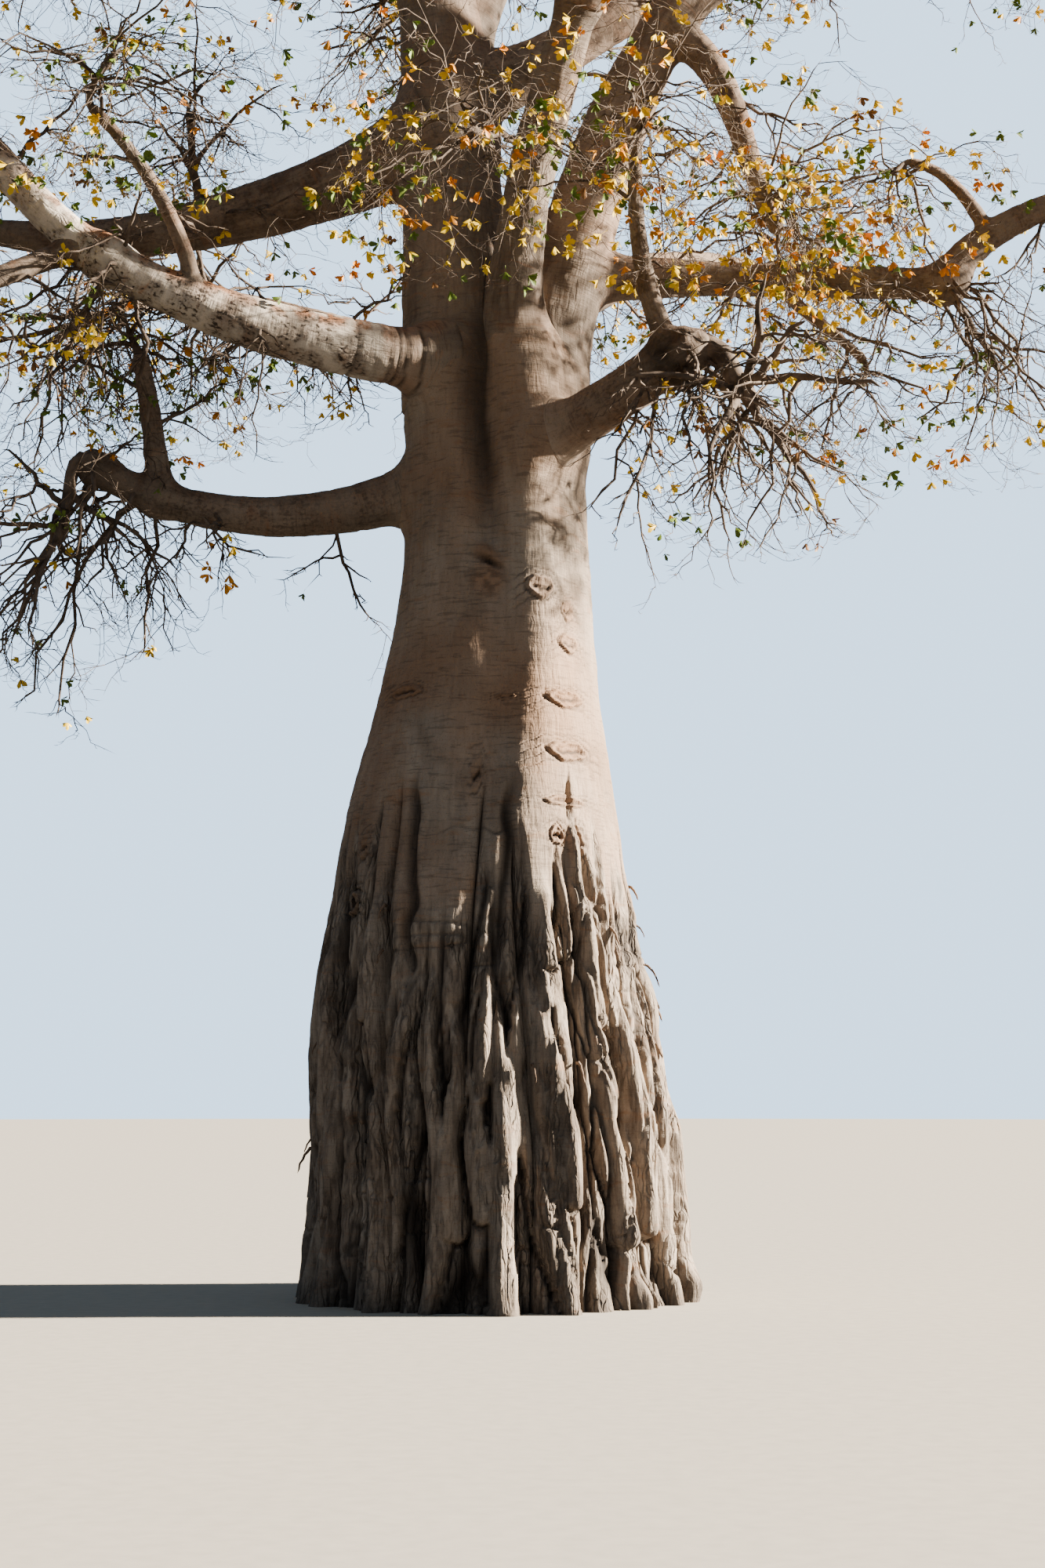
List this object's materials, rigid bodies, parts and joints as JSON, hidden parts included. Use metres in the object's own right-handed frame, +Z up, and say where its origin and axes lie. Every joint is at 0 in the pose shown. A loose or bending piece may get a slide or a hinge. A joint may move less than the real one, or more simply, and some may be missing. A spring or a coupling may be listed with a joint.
{
  "type": "baobab tree",
  "caption": "Old baobab tree with a bottle-shaped folded trunk, thick spreading boughs and a sparse autumn crown, rooted in the ground.",
  "frame": {"origin": "centre of the flat cut under the trunk, at ground level", "axes": "+Z up along the trunk, the pictured front faces -Y, +X to its right"},
  "size_m": [17.9317, 14.7244, 18.223],
  "materials": {
    "bark": "smooth pinkish grey-brown bark, creased and folded at the foot",
    "foliage": "bare grey-brown twigs with a few yellow, orange and green leaves"
  },
  "bodies": {
    "root": {"trunk": "bark", "leader_left": "bark", "leader_right": "bark", "leader_centre": "bark", "leader_left_fork": "bark", "bough_upper_left": "bark", "bough_lower_left": "bark", "bough_lower_left_end": "bark", "branch_lower_left_up": "bark", "branch_lower_left_down": "bark", "bough_lowest_left": "bark", "branch_lowest_left_up": "bark", "bough_lower_right": "bark", "branch_lower_right_up": "bark", "bough_right": "bark", "bough_right_end": "bark", "branch_right_up": "bark", "branch_right_down": "bark", "bough_upper_right": "bark", "bough_side_right": "bark", "bough_top_left": "bark", "bough_back_left": "bark", "bough_back": "bark", "bough_back_right": "bark", "bough_back_high": "bark", "bough_back_left_low": "bark", "bough_front_left": "bark", "bough_front_right": "bark", "bough_front": "bark", "bough_top_right": "bark", "foliage_crown_left": "foliage", "foliage_crown_back": "foliage", "foliage_crown_front": "foliage", "foliage_crown_right": "foliage", "foliage_upper_left": "foliage", "foliage_upper_left_near": "foliage", "foliage_lower_left": "foliage", "foliage_lower_left_up": "foliage", "foliage_lower_left_down": "foliage", "foliage_lowest_left": "foliage", "foliage_lowest_left_up": "foliage", "foliage_lower_right": "foliage", "foliage_lower_right_up": "foliage", "foliage_right": "foliage", "foliage_right_up": "foliage", "foliage_right_knee": "foliage", "foliage_right_down": "foliage", "foliage_upper_right": "foliage", "foliage_side_right": "foliage", "foliage_top_left": "foliage", "foliage_top_right": "foliage", "foliage_back_left": "foliage", "foliage_back": "foliage", "foliage_back_right": "foliage", "foliage_back_high": "foliage", "foliage_back_left_low": "foliage", "foliage_front_left": "foliage", "foliage_front_right": "foliage", "foliage_front_high": "foliage", "foliage_front": "foliage"}
  },
  "joints": []
}
